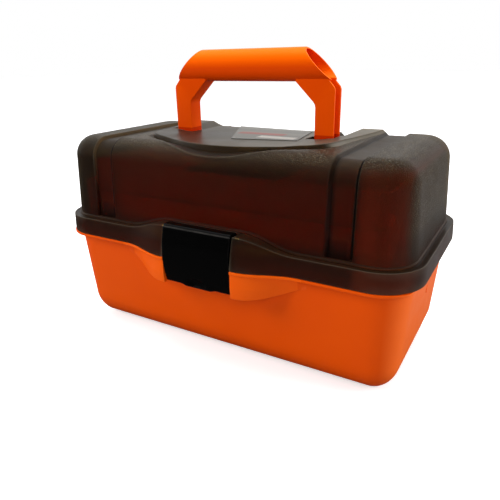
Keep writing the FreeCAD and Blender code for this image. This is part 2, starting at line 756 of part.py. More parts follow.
def dividers(name, bottom, rear, places):
    """Upright plates across a tray, centred at the given x places."""
    half_thickness = 0.8
    end_gap = tray_wall + 0.2
    return group(name, [
        box("%s_%d" % (name, i), x - half_thickness, x + half_thickness,
            tray_front + end_gap, rear - end_gap,
            bottom + tray_wall + 0.05, bottom + tray_height - 4.0)
        for i, x in enumerate(places)])


# ------------------------------------------------------------ arms and rivets
def arm(side, sign):
    name = side + "_arm"
    body = new_body(name)
    s = stadium(sketch(body, name + "_plan", "YZ_Plane", offset=sign * arm_inner_x),
                *base_pivot, *upper_arm_pivot, arm_half_width)
    pad(body, s, name + "_plate", arm_thickness, reverse=sign < 0)
    for n, pivot in enumerate((base_pivot, lower_arm_pivot, upper_arm_pivot)):
        s = circle(sketch(body, "%s_hole_%d" % (name, n), "YZ_Plane",
                          offset=sign * (arm_inner_x + 10.0)), *pivot, rivet_bore)
        pocket(body, s, "%s_hole_cut_%d" % (name, n), 20.0, reverse=sign < 0)
    return body


def arm_rivets(name, pivot):
    """Rivets joining a tray's lugs to the arms, heads outside the arms."""
    def rivet(side, sign):
        shank = span(sign, PIN_INNER_X, arm_outer_x + 0.3)
        head = span(sign, arm_outer_x + 0.2, arm_outer_x + 1.8)
        return fuse("%s_%s" % (name, side), [
            rod("%s_shank_%s" % (name, side), *shank, *pivot, rivet_radius),
            rod("%s_head_%s" % (name, side), *head, *pivot, 4.6)])
    return both_sides(name, rivet)


def lid_pins(name, pivot):
    """Pins joining a tray's bosses to the lid."""
    return both_sides(name, lambda side, sign: rod(
        "%s_%s" % (name, side), *span(sign, PIN_INNER_X, 155.8), *pivot, rivet_radius))


def base_rivet(side, sign):
    """Rivet joining an arm to the tub, head inside the arm."""
    name = side + "_base_rivet"
    # part, inner x, outer x, radius
    stack = (("shank", arm_inner_x - 0.4, BASE_SINK_X + 0.4, rivet_radius),
             ("head", arm_inner_x - 2.0, arm_inner_x - 0.3, 4.8),
             ("tail", BASE_SINK_X + 0.1, BASE_SINK_X + 1.1, 3.4))
    return fuse(name, [rod("%s_%s" % (name, part), *span(sign, near, far), *base_pivot, radius)
                       for part, near, far, radius in stack])


def arm_washer(side, sign):
    """Washer between an arm and the tub's boss."""
    x0, x1 = span(sign, arm_outer_x + 0.05, arm_outer_x + 0.45)
    return cut("arm_washer_" + side,
               rod("arm_washer_disc_" + side, x0, x1, *base_pivot, 5.5),
               rod("arm_washer_hole_" + side, -170.0, 170.0, *base_pivot, rivet_bore))


def hinge_pin(name, centre):
    half = 23.8
    return rod(name, centre - half, centre + half, *hinge_axis, hinge_pin_radius)


# ------------------------------------------------------------------- sticker
def label_sticker():
    body = new_body("label_sticker")
    s = poly(sketch(body, "label_plan", offset=platform_z + 0.02),
             [(-4.3, -30.7), (52.4, -20.5), (42.9, 33.8), (-37.6, 40.6)])
    pad(body, s, "label_film", 0.25)
    return body


# -------------------------------------------------------------------- pieces
latch_pin_half = 37.5
pieces = [
    base_tub(),
    lid_shell(),
    handle(),
    latch_flap(),
    rod("latch_pin", -latch_pin_half, latch_pin_half, *latch_pivot, latch_pin_radius),
    tray("lower_tray", lower_tray_z, lower_tray_rear, lower_arm_pivot, lower_lid_pivot,
         half=tray_half_length, root_rear=4.0),
    tray("upper_tray", upper_tray_z, upper_tray_rear, upper_arm_pivot, upper_lid_pivot,
         half=tray_half_length + 0.6, root_rear=6.0),
    dividers("lower_tray_dividers", lower_tray_z, lower_tray_rear, (-72.0, 0.0, 72.0)),
    dividers("upper_tray_dividers", upper_tray_z, upper_tray_rear, (-48.0, 48.0)),
    arm_rivets("lower_arm_rivets", lower_arm_pivot),
    arm_rivets("upper_arm_rivets", upper_arm_pivot),
    lid_pins("lower_lid_pins", lower_lid_pivot),
    lid_pins("upper_lid_pins", upper_lid_pivot),
    both_sides("arm_washers", arm_washer),
    label_sticker(),
]
for (side, sign), centre in zip(SIDES, HINGE_CENTRES):
    pieces += [arm(side, sign), base_rivet(side, sign), hinge_pin(side + "_hinge_pin", centre)]

# --------------------------------------------------------- checks and export
doc.recompute()
bad = [o.Name for o in doc.Objects if "Invalid" in o.State or "Error" in o.State]
if bad:
    raise RuntimeError("failed objects: " + ", ".join(bad))
for piece in pieces:
    if piece.Shape.isNull() or not piece.Shape.isValid() or not piece.Shape.Solids:
        raise RuntimeError("bad shape: " + piece.Label)
for piece in pieces:
    piece.Shape.exportStep("parts/%s.step" % piece.Label)
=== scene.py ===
import math

import bmesh
import bpy
import numpy as np
from mathutils import Matrix, Vector


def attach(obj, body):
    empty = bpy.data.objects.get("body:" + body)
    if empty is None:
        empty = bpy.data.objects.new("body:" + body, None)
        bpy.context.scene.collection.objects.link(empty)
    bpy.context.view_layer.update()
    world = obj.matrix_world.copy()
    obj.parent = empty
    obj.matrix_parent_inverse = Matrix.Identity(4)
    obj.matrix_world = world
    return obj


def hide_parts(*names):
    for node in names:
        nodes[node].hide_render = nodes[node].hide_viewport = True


# Fishing tackle box, closed: an orange tub, a smoky see-through lid with a handle on top,
# a black latch in front and cantilever arms at both ends. It stands on z = 0 with its
# long side along x, its front towards -y and its hinge at the rear.
# Meshes are drawn in millimetres and turned into metres; materials work in metres.

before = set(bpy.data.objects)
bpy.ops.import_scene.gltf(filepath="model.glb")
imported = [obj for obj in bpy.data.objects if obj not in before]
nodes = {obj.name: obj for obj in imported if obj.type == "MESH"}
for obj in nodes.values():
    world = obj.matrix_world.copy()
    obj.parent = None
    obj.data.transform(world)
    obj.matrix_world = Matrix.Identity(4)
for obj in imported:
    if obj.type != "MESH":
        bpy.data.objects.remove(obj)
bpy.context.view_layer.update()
scene = bpy.context.scene
MM = 0.001


# ------------------------------------------------------------------ node helpers
def srgb(r, g, b):
    """Linear RGBA from 0-255 display values."""
    linear = []
    for c in (r, g, b):
        c = c / 255.0
        linear.append(c / 12.92 if c <= 0.04045 else ((c + 0.055) / 1.055) ** 2.4)
    return tuple(linear) + (1.0,)


class Nodes:
    """Builds nodes in a tree. Any value may be a number, a tuple or another node's output."""

    def __init__(self, tree):
        self.tree = tree

    def feed(self, socket, value):
        if isinstance(value, bpy.types.NodeSocket):
            self.tree.links.new(value, socket)
        elif value is not None:
            socket.default_value = value

    def node(self, kind, inputs=None, **props):
        n = self.tree.nodes.new("ShaderNode" + kind)
        for key, value in props.items():
            setattr(n, key, value)
        for key, value in (inputs or {}).items():
            self.feed(n.inputs[key], value)
        return n

    def ramp(self, value, over, to=(0.0, 1.0), **props):
        """Maps the range over onto the range to, clamped."""
        return self.node("MapRange", {"From Min": over[0], "From Max": over[1], "To Min": to[0],
                                      "To Max": to[1], "Value": value}, **props).outputs["Result"]

    def math(self, operation, a, b=0.0):
        return self.node("Math", {0: a, 1: b}, operation=operation).outputs[0]

    def times(self, product, *factors):
        for factor in factors:
            product = self.math("MULTIPLY", product, factor)
        return product

    def invert(self, value):
        return self.math("SUBTRACT", 1.0, value)

    def band(self, value, rise, fall):
        """1 between two edges: climbs over the range rise and drops over the range fall."""
        return self.times(self.ramp(value, rise), self.ramp(value, fall, to=(1.0, 0.0)))


class Mat(Nodes):
    """A new material, drawn in object coordinates."""

    def __init__(self, name):
        self.material = bpy.data.materials.new(name)
        self.material.use_nodes = True
        super().__init__(self.material.node_tree)
        self.tree.nodes.clear()
        self.output = self.node("OutputMaterial")
        self.place = self.node("TexCoord").outputs["Object"]

    def split(self, vector):
        return self.node("SeparateXYZ", {0: vector}).outputs

    def normal(self):
        return self.split(self.node("TexCoord").outputs["Normal"])

    def noise(self, scale, detail=2.0, rough=0.5, stretch=None):
        source = self.place
        if stretch:
            source = self.node("Mapping", {"Scale": stretch, "Vector": source}).outputs["Vector"]
        return self.node("TexNoise", {"Scale": scale, "Detail": detail, "Roughness": rough,
                                      "Vector": source}).outputs["Fac"]

    def patches(self, scale, detail, rough, over, to=(0.0, 1.0), stretch=None):
        """Noise mapped from the range over to the range to."""
        return self.ramp(self.noise(scale, detail, rough, stretch), over, to)

    def mix(self, factor, a, b):
        return self.node("Mix", {0: factor, 6: a, 7: b}, data_type="RGBA").outputs[2]

    def bump(self, height, strength, distance, normal=None):
        return self.node("Bump", {"Distance": distance, "Strength": strength, "Height": height,
                                  "Normal": normal}).outputs["Normal"]

    def principled(self, inputs):
        return self.node("BsdfPrincipled", inputs).outputs[0]

    def finish(self, shader):
        self.feed(self.output.inputs["Surface"], shader)
        return self.material


# ------------------------------------------------------------------ materials
def plastic(name, colour, drift_colour, rough=0.42, grain=0.12, spec=0.5, wear_and_highlight=0.25,
            top=None, ends=None, foot=None, streak=None):
    """Moulded plastic: slow colour drift, fine moulding grain, edges lightened partly as wear and
    partly as a painted highlight.
    top and ends are colours for faces looking up and along x, painted light; foot is (height,
    colour) below a height, a painted shade;
    streak is a painted highlight line, ((y0, y1, z0, z1), colour) inside a box."""
    mat = Mat(name)
    drift = mat.patches(9.0, detail=3.0, rough=0.6, over=(0.3, 0.7))
    base = mat.mix(drift, colour, drift_colour)
    pointiness = mat.node("NewGeometry").outputs["Pointiness"]
    # edges lightened, partly wear and partly a painted highlight along convex edges
    edge = mat.ramp(pointiness, over=(0.52, 0.60), to=(0.0, wear_and_highlight))
    scuff = mat.patches(160.0, detail=4.0, rough=0.7, over=(0.35, 0.75), to=(0.2, 1.0))
    rubbed_and_highlit = tuple(min(1.0, c * 1.35 + 0.03) for c in colour[:3]) + (1.0,)
    base = mat.mix(mat.times(edge, scuff), base, rubbed_and_highlit)
    if top or ends:
        normal = mat.normal()
    # painted highlight: faces looking up take the lighter top colour
    if top:
        base = mat.mix(mat.ramp(normal[2], over=(-0.1, 0.75)), base, top)
    # painted sheen: faces along x take the paler ends colour
    if ends:
        endways = mat.math("ABSOLUTE", normal[0])
        base = mat.mix(mat.ramp(endways, over=(0.45, 0.98), to=(0.0, 0.75)), base, ends)
    # painted shade: a darker band below the height, where the handle's legs meet the lid
    if foot:
        height, foot_shade_colour = foot
        below = mat.ramp(mat.split(mat.place)[2], over=(height, height + 0.0005), to=(0.85, 0.0))
        base = mat.mix(below, base, foot_shade_colour)
    # painted highlight: a thin pale line inside the box, along the latch's front top edge
    if streak:
        (y0, y1, z0, z1), highlight_colour = streak
        x, y, z = mat.split(mat.place)
        fade = 0.0003
        across = mat.band(y, rise=(y0, y0 + fade), fall=(y1 - fade, y1))
        upright = mat.band(z, rise=(z0, z0 + fade), fall=(z1 - fade, z1))
        broken = mat.patches(90.0, detail=3.0, rough=0.6, over=(0.35, 0.65), to=(0.45, 1.0))
        base = mat.mix(mat.times(across, upright, broken), base, highlight_colour)
    grained = mat.bump(mat.noise(1400.0), strength=grain, distance=0.0002)
    return mat.finish(mat.principled({
        "Base Color": base,
        "Roughness": mat.patches(60.0, detail=5.0, rough=0.65, over=(0.3, 0.7),
                                 to=(rough - 0.05, rough + 0.07)),
        "Specular IOR Level": spec,
        "Coat Roughness": 0.25,
        "Normal": mat.bump(mat.noise(28.0), strength=0.10, distance=0.0012, normal=grained),
    }))


# the tub's ends colour is a painted sheen on its end faces
ORANGE = plastic("orange_moulding", srgb(242, 87, 0), srgb(235, 81, 0), grain=0.06, spec=0.10,
                 wear_and_highlight=0.5, ends=srgb(252, 118, 44))
# lighter copy of the orange for the front apron: painted light, drawn brighter than the wall
# below it
ORANGE_PAINTED_LIT = plastic("orange_apron_painted_lit", srgb(252, 98, 0), srgb(247, 92, 0), grain=0.06, spec=0.14,
                     wear_and_highlight=0.5)
# handle: the top colour is a painted highlight on faces looking up, the foot colour a painted
# shade at the foot of the legs
HANDLE = plastic("orange_handle", srgb(240, 76, 0), srgb(234, 71, 0), rough=0.38, grain=0.03,
                 spec=0.035, top=(1.0, 0.155, 0.0, 1.0), foot=(0.1869, srgb(190, 38, 0)))
# latch: the streak is a painted highlight along its top edge
BLACK = plastic("black_latch_plastic", srgb(2, 2, 2), srgb(3, 3, 3), rough=0.20, grain=0.0,
                spec=0.13, wear_and_highlight=0.55,
                streak=((-0.0956, -0.0944, 0.1199, 0.1213), srgb(46, 44, 42)))
ARM = plastic("black_arm_plastic", srgb(24, 23, 22), srgb(30, 29, 28))
TRAY = plastic("tray_moulding", srgb(224, 70, 12), srgb(214, 62, 10), grain=0.10, spec=0.3)
DIVIDER = plastic("divider_moulding", srgb(214, 66, 12), srgb(204, 58, 10), rough=0.45,
                  grain=0.10, spec=0.3)


def steel():
    """Plated steel with a fine grain drawn out along x."""
    mat = Mat("plated_steel")
    tint = mat.noise(220.0, detail=4.0, rough=0.6)
    return mat.finish(mat.principled({
        "Metallic": 1.0,
        "Base Color": mat.mix(tint, srgb(176, 176, 172), srgb(148, 147, 143)),
        "Roughness": mat.patches(700.0, detail=3.0, rough=0.6, over=(0.3, 0.7), to=(0.22, 0.42),
                                 stretch=(0.08, 1.0, 1.0)),
        "Normal": mat.bump(mat.noise(1500.0, stretch=(0.05, 1.0, 1.0)), strength=0.12,
                           distance=0.0001),
    }))


STEEL = steel()


def smoky(name, grain, is_shell):
    """Smoky see-through plastic: clear and dark on the front, frosted and paler where it faces up
    or endways, the paleness partly a painted sheen. The shell also has smooth channels with
    painted shade and a painted highlight along their steps, and painted shade in a hollow marked
    by an attribute."""
    mat = Mat(name)
    signed_x, y, z = mat.split(mat.place)
    normal = mat.normal()
    x = mat.math("ABSOLUTE", signed_x)

    # frosting: faces looking up or endways, the upper left end, and the upper part turn paler and
    # less clear; the paleness is partly a painted sheen, wholly so on the left end alone
    up = mat.ramp(normal[2], over=(0.30, 0.92))
    endways = mat.times(mat.ramp(mat.math("ABSOLUTE", normal[0]), over=(0.74, 0.93)),
                        mat.ramp(x, over=(0.1236, 0.1290)))
    face = mat.math("MAXIMUM", up, endways)
    # painted sheen: only the left end is paled
    left = mat.times(mat.ramp(signed_x, over=(-0.1300, -0.1225), to=(0.55, 0.0)),
                     mat.ramp(z, over=(0.1100, 0.1350)))
    frost_and_sheen = mat.math("MAXIMUM", face, left)
    frost_and_sheen = mat.math("MAXIMUM", frost_and_sheen, mat.ramp(z, over=(0.140, 0.184), to=(0.0, 0.55)))
    low = mat.ramp(z, over=(0.1080, 0.1215), to=(1.0, 0.0))

    # grain, left out in the channels and at the foot of the shell
    if is_shell:
        channels = mat.band(x, rise=(0.1005, 0.1045), fall=(0.1215, 0.1235))
        grained = mat.times(mat.invert(channels), mat.ramp(z, over=(0.1105, 0.1135)))
        strength = mat.times(grained, grain, mat.ramp(frost_and_sheen, over=(0.0, 1.0), to=(0.30, 1.0)))
    else:
        grained, strength = 0.15, grain
    fine = mat.bump(mat.noise(1150.0, rough=0.6), strength, distance=0.0006)
    wavy = mat.bump(mat.noise(22.0), strength=0.10, distance=0.002, normal=fine)

    # painted shade in hollows and creases and a painted highlight on ridges, and in the shell
    # painted shade on the steps along the channels' sides, stronger on the right
    pointiness = mat.node("NewGeometry").outputs["Pointiness"]
    cavity_shade = mat.ramp(pointiness, over=(0.455, 0.492), to=(0.25, 1.0))
    ridge_highlight = mat.ramp(pointiness, over=(0.515, 0.57), to=(0.0, 0.55))
    if is_shell:
        right = mat.ramp(signed_x, over=(-0.01, 0.01))
        wide = mat.band(x, rise=(0.1008, 0.1026), fall=(0.1040, 0.1075))
        thin = mat.band(x, rise=(0.1008, 0.1012), fall=(0.1020, 0.1032))
        inner_step_shade = mat.times(mat.mix(right, thin, wide),
                               mat.ramp(signed_x, over=(-0.01, 0.01), to=(0.80, 0.50)))
        outer_step_shade = mat.band(x, rise=(0.1206, 0.1212), fall=(0.1226, 0.1234))
        steps = mat.math("ADD", inner_step_shade, mat.times(outer_step_shade, 0.85, right))
        steps = mat.times(steps, mat.ramp(z, over=(0.1115, 0.1135)))
        cavity_shade = mat.times(cavity_shade, mat.invert(steps))

    # colour
    drift = mat.patches(7.0, detail=3.0, rough=0.6, over=(0.3, 0.7))
    dark = mat.mix(drift, srgb(31, 21, 13), srgb(26, 17, 11))
    if is_shell:
        pale = mat.mix(drift, srgb(41, 33, 22), srgb(36, 28, 19))
    else:
        pale = mat.mix(drift, srgb(47, 42, 33), srgb(41, 37, 29))
    colour = mat.mix(mat.math("MAXIMUM", frost_and_sheen, mat.times(low, 0.12)), dark, pale)
    # painted glow: the low parts, skirt and flange, turn reddish-brown as if lit through by the
    # orange tub
    colour = mat.mix(mat.times(low, 0.66), colour, srgb(46, 19, 8))
    # painted glints: pale specks on frosted faces looking up or endways
    painted_glints = mat.times(
        mat.patches(1050.0, detail=1.0, rough=0.5, over=(0.585, 0.67), to=(0.0, 0.46)),
        mat.times(face, face, mat.times(grained, mat.ramp(z, over=(0.128, 0.135)))))
    if is_shell:
        # painted light: the right end glows warmer, as if more light passes through it
        lit_right_end = mat.ramp(signed_x, over=(0.1236, 0.1300), to=(0.0, 0.66))
        colour = mat.mix(mat.times(lit_right_end, mat.invert(frost_and_sheen)), colour, srgb(88, 36, 18))
        # painted shade: the tops of both end caps are darkened
        shaded_end_top = mat.ramp(x, over=(0.1236, 0.1250), to=(0.0, 0.70))
        colour = mat.mix(mat.times(shaded_end_top, up), colour, srgb(20, 17, 10))
        hollow = mat.node("Attribute", attribute_name="hollow").outputs["Fac"]
        inside = mat.ramp(hollow, over=(0.490, 0.512))
        edge = mat.times(mat.ramp(hollow, over=(0.455, 0.490)), mat.invert(inside))
        # painted shade inside the hollow under the platform's front edge
        colour = mat.mix(mat.times(inside, 0.62), colour, srgb(22, 15, 10))
        # painted highlight along the hollow's lower outline
        colour = mat.mix(mat.times(edge, 0.32), colour, srgb(88, 76, 60))
        painted_glints = mat.times(painted_glints, mat.invert(inside))
        # painted highlight: a pale line on the cap's edge beside the left channel only
        step_highlight = mat.times(mat.band(x, rise=(0.1219, 0.1224), fall=(0.1234, 0.1242)),
                              mat.ramp(signed_x, over=(-0.01, 0.01), to=(0.55, 0.0)),
                              mat.ramp(z, over=(0.135, 0.160)))
        colour = mat.mix(step_highlight, colour, srgb(112, 96, 76))
    else:
        # painted light: faces looking up turn paler towards the right
        lit_right_top = mat.ramp(signed_x, over=(-0.030, 0.060), to=(0.0, 0.75))
        colour = mat.mix(mat.times(lit_right_top, up), colour, srgb(104, 98, 82))
    colour = mat.mix(painted_glints, colour, srgb(184, 172, 146))
    # painted highlight on convex ridges
    colour = mat.mix(ridge_highlight, colour, srgb(122, 114, 98))
    # painted shade in the hollows and creases and on the channels' steps
    colour = mat.mix(cavity_shade, (0.004, 0.0025, 0.002, 1.0), colour)

    shine = mat.ramp(frost_and_sheen, over=(0.0, 1.0), to=(0.34, 0.18 if is_shell else 0.95))
    body = mat.principled({
        "Base Color": colour,
        "Roughness": mat.patches(55.0, detail=4.0, rough=0.6, over=(0.3, 0.7), to=(0.34, 0.43)),
        "Specular IOR Level": mat.times(shine, cavity_shade),
        "Normal": wavy,
    })
    see_through = mat.node("BsdfRefraction", {"IOR": 1.03, "Roughness": 0.62, "Normal": fine,
                                              "Color": (0.80, 0.62, 0.30, 1.0)}).outputs[0]
    clear = mat.times(mat.ramp(frost_and_sheen, over=(0.0, 1.0), to=(0.60, 0.34)),
                      mat.ramp(low, over=(0.0, 1.0), to=(1.0, 0.55)), cavity_shade)
    seen = mat.node("MixShader", {0: clear, 1: body, 2: see_through}).outputs[0]
    # shadow rays pass through, tinted
    shadow = mat.node("BsdfTransparent", {"Color": (0.34, 0.25, 0.18, 1.0)}).outputs[0]
    is_shadow = mat.node("LightPath").outputs["Is Shadow Ray"]
    return mat.finish(mat.node("MixShader", {0: is_shadow, 1: seen, 2: shadow}).outputs[0])


LID = smoky("smoky_lid", grain=0.55, is_shell=True)
LID_SMOOTH = smoky("smoky_lid_smooth", grain=0.04, is_shell=False)
LID_DARK = plastic("smoky_knuckle", srgb(40, 32, 25), srgb(35, 28, 22), rough=0.40, grain=0.05,
                   spec=0.2)


def sticker():
    """Plain printed film with three blank tone bars."""
    mat = Mat("sticker_film")
    x = mat.split(mat.place)[0]
    waver = mat.patches(40.0, detail=2.0, rough=0.5, over=(0.0, 1.0), to=(-0.0006, 0.0006))
    y = mat.math("ADD", mat.split(mat.place)[1], waver)
    fade = 0.0006
    tone = srgb(92, 91, 84)
    # x0, x1, y0, y1, strength, colour
    for x0, x1, y0, y1, strength, colour in (
            (-0.016, 0.030, -0.0032, 0.0076, 0.95, srgb(120, 42, 30)),
            (-0.030, 0.046, 0.0130, 0.0270, 0.70, srgb(72, 71, 67)),
            (0.012, 0.047, -0.0180, -0.0075, 0.95, srgb(176, 175, 166))):
        bar = mat.times(mat.band(x, rise=(x0, x0 + fade), fall=(x1, x1 + fade)),
                        mat.band(y, rise=(y0, y0 + fade), fall=(y1, y1 + fade)))
        tone = mat.mix(mat.times(bar, strength), tone, colour)
    speckle = mat.patches(500.0, detail=3.0, rough=0.6, over=(0.3, 0.7), to=(0.0, 0.10))
    return mat.finish(mat.principled({
        "Base Color": mat.mix(speckle, tone, srgb(140, 137, 128)),
        "Roughness": 0.45,
        "Normal": mat.bump(mat.noise(300.0, detail=3.0, rough=0.6), strength=0.06,
                           distance=0.0004),
    }))


STICKER = sticker()


# -------------------------------------------------------------------- meshing
def add_object(name, data):
    ob = bpy.data.objects.new(name, data)
    scene.collection.objects.link(ob)
    return ob


def shade(mesh, angle):
    """Smooth shading with edges sharper than angle (degrees) kept crisp."""
    for p in mesh.polygons:
        p.use_smooth = True
    mesh.set_sharp_from_angle(angle=math.radians(angle))


def make(name, verts, faces, mat, angle=38.0):
    """Object from millimetre points, with doubled points welded."""
    mesh = bpy.data.meshes.new(name)
    mesh.from_pydata((np.asarray(verts, float) * MM).tolist(), [], faces)
    bm = bmesh.new()
    bm.from_mesh(mesh)
    bmesh.ops.remove_doubles(bm, verts=bm.verts, dist=1e-6)
    bmesh.ops.dissolve_degenerate(bm, edges=bm.edges, dist=1e-6)
    bmesh.ops.recalc_face_normals(bm, faces=bm.faces)
    bm.to_mesh(mesh)
    bm.free()
    shade(mesh, angle)
    mesh.materials.append(mat)
    return add_object(name, mesh)


def ring_faces(rings, size, close_rings=False, close_points=True, first=0):
    """Quads between neighbouring rings of size points, numbered from first."""
    faces = []
    for i in range(rings if close_rings else rings - 1):
        a, b = first + i * size, first + (i + 1) % rings * size
        for k in range(size if close_points else size - 1):
            m = (k + 1) % size
            faces.append((a + k, a + m, b + m, b + k))
    return faces


def loft(name, rings, mat, angle):
    """Solid through a row of closed rings, with flat ends."""
    size = len(rings[0])
    verts = [v for ring in rings for v in ring]
    faces = ring_faces(len(rings), size)
    faces += [tuple(range(size)), tuple(range(len(verts) - size, len(verts)))[::-1]]
    return make(name, verts, faces, mat, angle)


def smooth(a, b, x):
    """0 up to a, 1 from b on, and a smooth step between."""
    t = np.clip((x - a) / (b - a), 0.0, 1.0)
    return t * t * (3 - 2 * t)


def rounded(corners, seg=3):
    """Eases a path of (r, z, radius); every inner corner gives seg + 1 points."""
    P = np.array([(r, z) for r, z, _ in corners], float)
    path = [P[0]]
    for i in range(1, len(P) - 1):
        back, ahead = P[i - 1] - P[i], P[i + 1] - P[i]
        back_len, ahead_len = np.hypot(*back), np.hypot(*ahead)
        if back_len < 1e-9 or ahead_len < 1e-9:
            path += [P[i]] * (seg + 1)
            continue
        cut = min(corners[i][2], 0.45 * back_len, 0.45 * ahead_len)
        start, end = P[i] + back / back_len * cut, P[i] + ahead / ahead_len * cut
        for k in range(seg + 1):
            s = k / seg
            path.append((1 - s) ** 2 * start + 2 * s * (1 - s) * P[i] + s * s * end)
    return path + [P[-1]]


def arc(rc, zc, ra, rb, a0, a1, n):
    """n + 1 points on an ellipse about (rc, zc), from a0 to a1 degrees."""
    angles = [math.radians(a0 + (a1 - a0) * i / n) for i in range(n + 1)]
    return [(rc + ra * math.cos(a), zc + rb * math.sin(a)) for a in angles]


def columns(xs, ys):
    """Columns (x, y, nx, ny, side) round a rectangle, counter-clockwise from the front left.
    Each corner fans out into 12 more columns."""
    sx, sy = xs[-1], ys[-1]
    walls = (("f", [(x, -sy) for x in xs], (0.0, -1.0)), ("r", [(sx, y) for y in ys], (1.0, 0.0)),
             ("b", [(x, sy) for x in xs[::-1]], (0.0, 1.0)),
             ("l", [(-sx, y) for y in ys[::-1]], (-1.0, 0.0)))
    cols = []
    for turn, (side, line, (nx, ny)) in enumerate(walls):
        cols += [(x, y, nx, ny, side) for x, y in line]
        x, y = line[-1]
        for a in np.radians(np.linspace(90 * turn - 90, 90 * turn, 14)[1:-1]):
            cols.append((x, y, math.cos(a), math.sin(a), "c"))
    return cols


def shell(name, xs, ys, section, caps, mat, shift=None):
    """Sweeps section(column) -> [(r, z)] round the columns and closes both ends with
    grids over the inner rectangle at the heights in caps."""
    cols = columns(xs, ys)
    verts = []
    for col in cols:
        points = np.array(section(col), float)
        if shift is not None:
            points = shift(col, points)
        verts += [(col[0] + col[2] * r, col[1] + col[3] * r, z) for r, z in points]
    faces = ring_faces(len(cols), len(points), close_rings=True, close_points=False)
    for height in caps:
        faces += ring_faces(len(xs), len(ys), close_points=False, first=len(verts))
        verts += [(x, y, height(x, y)) for x in xs for y in ys]
    return make(name, verts, faces, mat)


def spaced(stops, steps):
    """Ascending list through the stops with roughly the given steps between them."""
    out = []
    for a, b, step in zip(stops[:-1], stops[1:], steps):
        n = max(1, int(round((b - a) / step)))
        out += list(np.linspace(a, b, n + 1)[:-1])
    return out + [stops[-1]]


def mirrored(half):
    return [-x for x in half[:0:-1]] + half


def curve(pts, n):
    """n even points on a smooth curve through pts."""
    P = np.array(pts, float)
    dist = np.r_[0, np.cumsum(np.hypot(*np.diff(P, axis=0).T))]
    T = np.gradient(P, dist, axis=0)
    s = np.linspace(0, dist[-1], n)
    i = np.clip(np.searchsorted(dist, s, side="right") - 1, 0, len(P) - 2)
    h = dist[i + 1] - dist[i]
    u = (s - dist[i]) / h
    u, h = u[:, None], h[:, None]
    return ((2 * u ** 3 - 3 * u ** 2 + 1) * P[i] + (u ** 3 - 2 * u ** 2 + u) * h * T[i]
            + (-2 * u ** 3 + 3 * u ** 2) * P[i + 1] + (u ** 3 - u ** 2) * h * T[i + 1])


# ------------------------------------------------------------------ lid shape
LID_X, LID_Y = 135.1, 51.55    # half sizes of the rectangle the lid's walls are swept round
LID_TOP = 183.1
ROUND_R = 18.9                 # rounding from wall to top
ROUND_Z = LID_TOP - ROUND_R
WALL = 2.8                     # thickness of lid and tub walls
WALL_FOOT = 110.4              # where the lid's wall meets its skirt
SKIRT_FOOT, SKIRT_ROOF = 94.6, 107.6
DRAFT = 4.2                    # how far the wall leans in from foot to top
RECESS_X = 32.85               # half width of the recess behind the latch
OUTER_ARC, INNER_ARC = 24, 10  # steps in the rounding outside and inside

lid_xs = mirrored(spaced([0, 32.4, 32.75, 33.0, 36.0, 90.0, 101.0, 106.0, 120.6, 124.2, LID_X],
                         [3.6, 0.2, 0.25, 1.0, 1.4, 2.5, 0.5, 3.0, 0.25, 3.0]))
lid_ys = spaced([-LID_Y, LID_Y], [2.4])

# Right half of the platform's outline, (x, y) from the front middle round to the rear:
# its top edge, and the line where its rim meets the lid.
top_edge = curve([(0, -64), (18, -62.2), (34, -57.5), (52, -49.5), (68, -44), (79, -38.5),
                  (85, -30), (88, -12), (92, 8), (96.3, 30), (99.2, 50), (99.8, 58)], 90)
foot_edge = curve([(0, -71.9), (18, -70.8), (36, -66.6), (54, -59.5), (72, -50.0), (84, -42.0),
                   (90, -31.5), (92.2, -12), (95.4, 8), (99.4, 30), (102.0, 50), (102.4, 60)], 90)


def wall_r(z, inset=0.0):
    return 27.6 - inset - DRAFT * (z - WALL_FOOT) / (LID_TOP - WALL_FOOT)


ROUND_C = wall_r(ROUND_Z) - ROUND_R    # r of the rounding's centre


def behind(x, y):
    """How far the lid's top drops behind the handle: a little in the middle, a sloping
    valley behind each leg."""
    a = abs(x)
    mid = 3.4 * float(smooth(32.0, 50.0, y)) * (1 - float(smooth(60.0, 62.0, a)))
    valley = max(0.0, 184.3 - (185.0 - 0.5 * (81.0 - a)))
    valley *= float(smooth(60.0, 61.5, a)) * (1 - float(smooth(80.0, 82.0, a)))
    return max(mid, valley * float(smooth(3.0, 8.0, y)))


def edge_front(edge, a):
    """Distance in front of the middle of an outline at distance a from the middle line."""
    return -float(np.interp(a, edge[:, 0], edge[:, 1]))


def scoop(x, f):
    """Depth of the hollow under the platform's front edge, f in front of the middle."""
    a = abs(x)
    if a > 89.0 or f < 20:
        return 0.0
    top, foot = edge_front(top_edge, a), edge_front(foot_edge, a)
    t = (f - top) / max(1.0, foot - top)
    if t >= 0:
        depth = 3.4 * (1 - min(1.0, t)) ** 0.65
    else:
        depth = 3.4 * (1 - float(smooth(0.5, 6.0, top - f)))
    return depth * (1 - float(smooth(79.0, 88.5, a)))


def channel(x):
    """Depth of the two channels over the lid, with a deeper groove at their outer side."""
    a = abs(x)
    end = 1.0 - smooth(122.3, 123.5, a)
    return 2.5 * smooth(101.3, 104.9, a) * end + 1.1 * smooth(120.9, 121.6, a) * end


def cap_drop(x, y):
    return behind(x, y) if y > 0 else scoop(x, -y)


def bell(x, start, width):
    """1 up to start from the middle line, easing to 0 over width."""
    return float(0.5 + 0.5 * np.cos(np.pi * np.clip((abs(x) - start) / width, 0, 1)))


